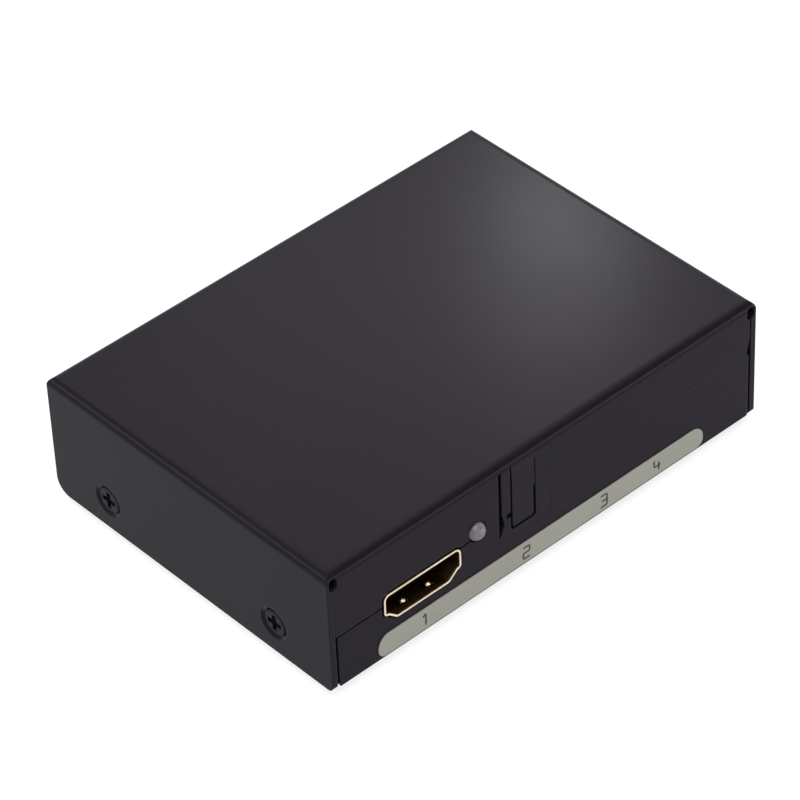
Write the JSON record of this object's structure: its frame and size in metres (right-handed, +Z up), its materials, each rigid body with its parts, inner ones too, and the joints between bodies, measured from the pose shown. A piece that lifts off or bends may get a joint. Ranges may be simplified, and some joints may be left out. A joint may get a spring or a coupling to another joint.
{
  "type": "hdmi audio extractor",
  "caption": "Small black sheet-metal HDMI audio extractor box with HDMI sockets, a shuttered optical audio socket, a status light, a mode switch and a power socket.",
  "frame": {"origin": "centre of the footprint, on the surface that the rubber feet stand on", "axes": "+X to the right along the front panel as seen from the front, +Y from the front panel to the rear panel, +Z up"},
  "size_m": [0.084, 0.0622, 0.0227],
  "materials": {
    "case_paint": "satin black powder coat",
    "base_paint": "satin black powder coat",
    "black_screw": "black oxide, slightly glossy",
    "label_silver": "matt champagne silver foil",
    "foot_rubber": "matt",
    "board_green": "solder mask",
    "bright_metal": "tin or nickel plated",
    "port_gold": "pale gold plated, polished",
    "port_plastic": "moulded black",
    "contact_gold": "gold plated",
    "housing_plastic": "moulded black, satin",
    "shutter_plastic": "moulded black, satin",
    "emitter_plastic": "clear dark resin",
    "light_lens": "milky diffused lens",
    "phenolic_brown": "phenolic laminate",
    "knob_plastic": "moulded black",
    "chip_resin": "moulded epoxy",
    "can_aluminium": "bare can",
    "ferrite_grey": "ferrite"
  },
  "bodies": {
    "case": {"upper_shell": "case_paint", "lower_shell": "base_paint", "side_screws": "black_screw", "label_strip": "label_silver", "rubber_feet": "foot_rubber", "circuit_board": "board_green", "board_standoffs": "bright_metal", "board_screws": "bright_metal", "hdmi_out_shell": "port_gold", "hdmi_out_insulator": "port_plastic", "hdmi_out_contacts": "contact_gold", "hdmi_in_shell": "port_gold", "hdmi_in_insulator": "port_plastic", "hdmi_in_contacts": "contact_gold", "optical_housing": "housing_plastic", "shutter_pin": "bright_metal", "optical_emitter": "emitter_plastic", "emitter_leads": "bright_metal", "status_led": "light_lens", "status_led_leads": "bright_metal", "power_jack_housing": "port_plastic", "power_jack_pin": "bright_metal", "power_jack_contacts": "bright_metal", "mode_switch_frame": "bright_metal", "mode_switch_base": "phenolic_brown", "main_chip": "chip_resin", "main_chip_leads": "bright_metal", "audio_chip": "chip_resin", "audio_chip_leads": "bright_metal", "regulator": "chip_resin", "crystal": "bright_metal", "capacitors": "can_aluminium", "inductor": "ferrite_grey", "chip_resistors": "chip_resin"},
    "shutter": {"optical_shutter": "shutter_plastic", "shutter_spring": "bright_metal"},
    "mode_slider": {"mode_switch_slider": "knob_plastic"}
  },
  "joints": [
    {"name": "shutter_hinge", "type": "hinge", "parent": "case", "child": "shutter", "pos_m": [-0.00515, -0.0279, 0.0199], "axis": [1, 0, 0], "range_deg": [0, 80], "stiffness_Nm_per_rad": 0.0001, "springref_deg": -20.05},
    {"name": "mode_slide", "type": "slide", "parent": "case", "child": "mode_slider", "axis": [1, 0, 0], "range_m": [-0.002, 0.002]}
  ]
}
